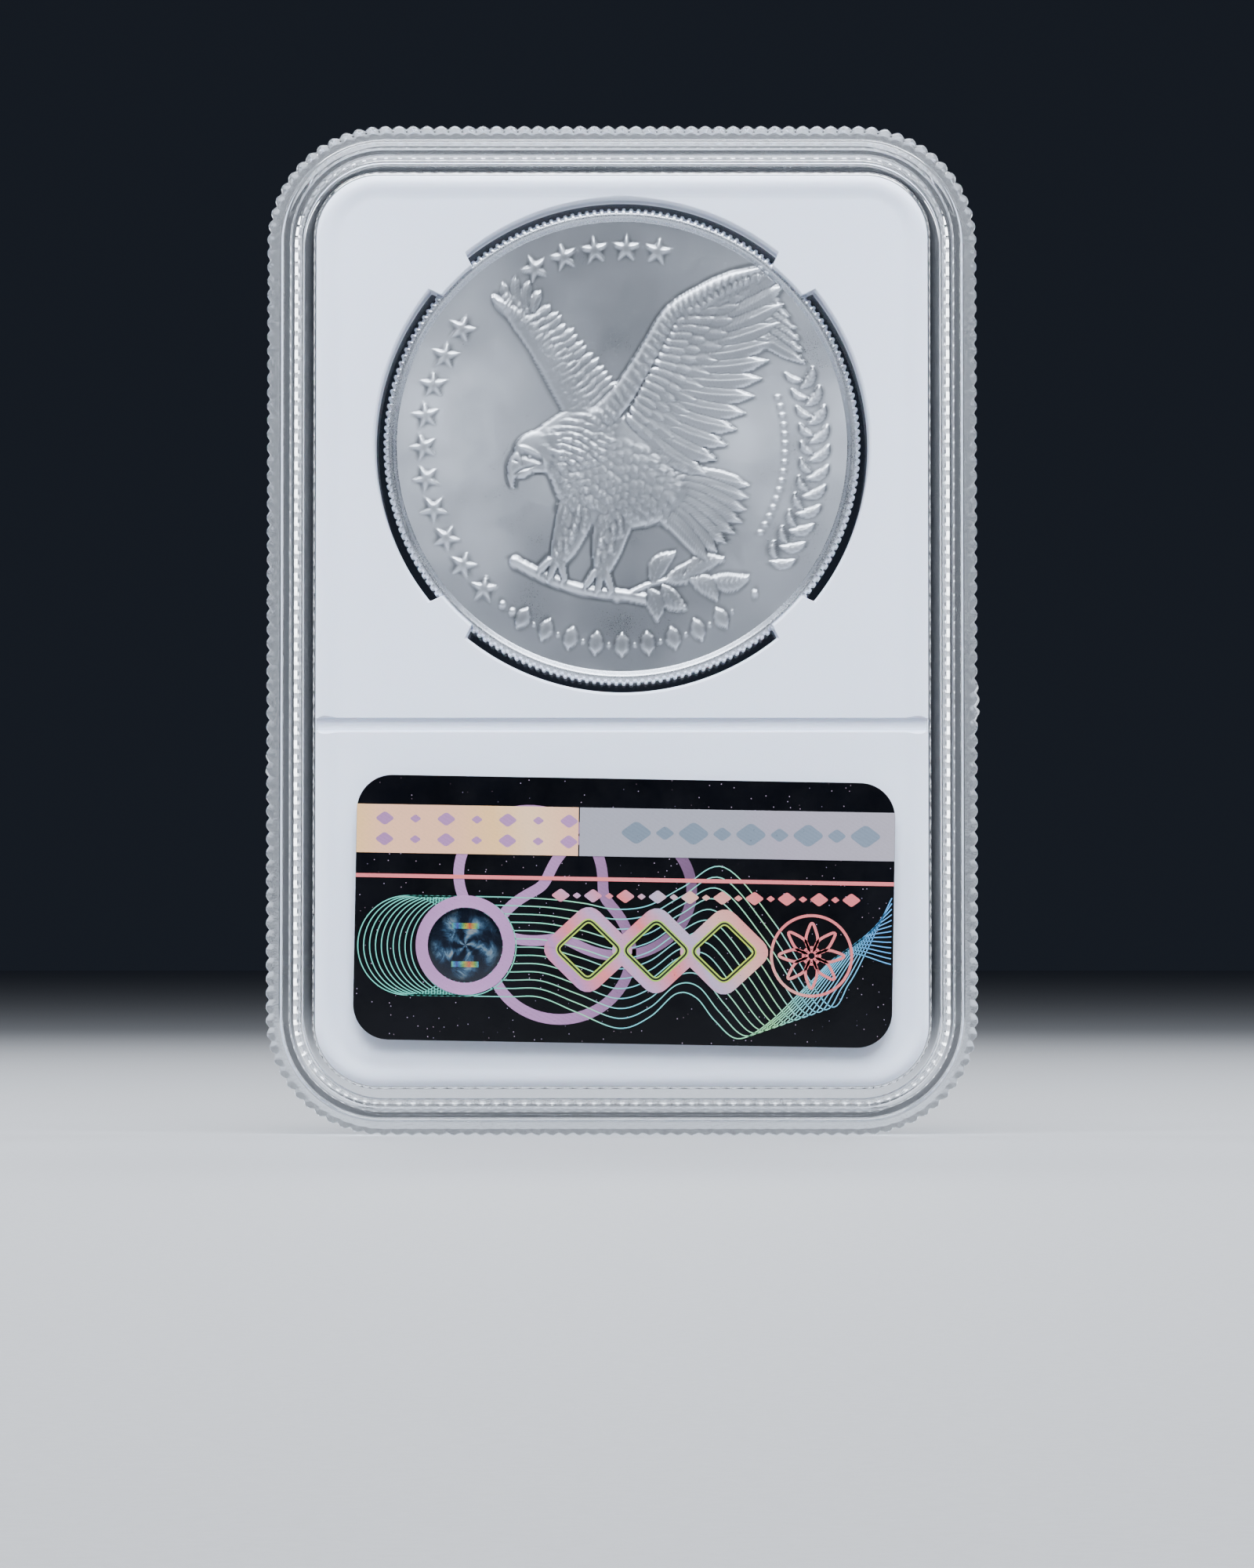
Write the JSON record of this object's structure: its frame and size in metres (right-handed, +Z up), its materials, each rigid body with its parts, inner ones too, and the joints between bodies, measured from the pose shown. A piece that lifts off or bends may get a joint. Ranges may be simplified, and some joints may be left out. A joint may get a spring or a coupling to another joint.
{
  "type": "graded coin slab",
  "caption": "Clear welded holder with fluted edges, a white insert gripping a reeded silver coin by prongs, a hologram sticker behind and a blank paper label in front.",
  "frame": {"origin": "middle of the slab's lower edge, half way through its thickness, on the surface it stands on", "axes": "+Z up the slab with the coin above the label, +X to the right as seen from the rear, -Y out of the rear, which carries the hologram sticker"},
  "size_m": [0.0604, 0.008, 0.0857],
  "materials": {
    "clear_plastic": "clear glossy moulded plastic",
    "weld_plastic": "cloudy melted clear plastic",
    "white_plastic": "smooth satin white, slightly cool",
    "silver": "struck fine silver with a satin, radial lustre",
    "label_paper": "matte coated paper",
    "black_film": "glossy black film with fine diffraction lines",
    "warm_foil": "peach diffractive foil",
    "grey_foil": "grey diffractive foil",
    "lilac_foil": "lilac diffractive foil",
    "lens_foil": "dark iridescent foil"
  },
  "bodies": {
    "root": {"front_shell": "clear_plastic", "rear_shell": "clear_plastic", "weld_bead": "weld_plastic", "white_insert": "white_plastic", "coin": "silver", "paper_label": "label_paper", "hologram_film": "black_film", "warm_foil_stripe": "warm_foil", "grey_foil_stripe": "grey_foil", "seal_ring": "lilac_foil", "seal_lens": "lens_foil"}
  },
  "joints": []
}
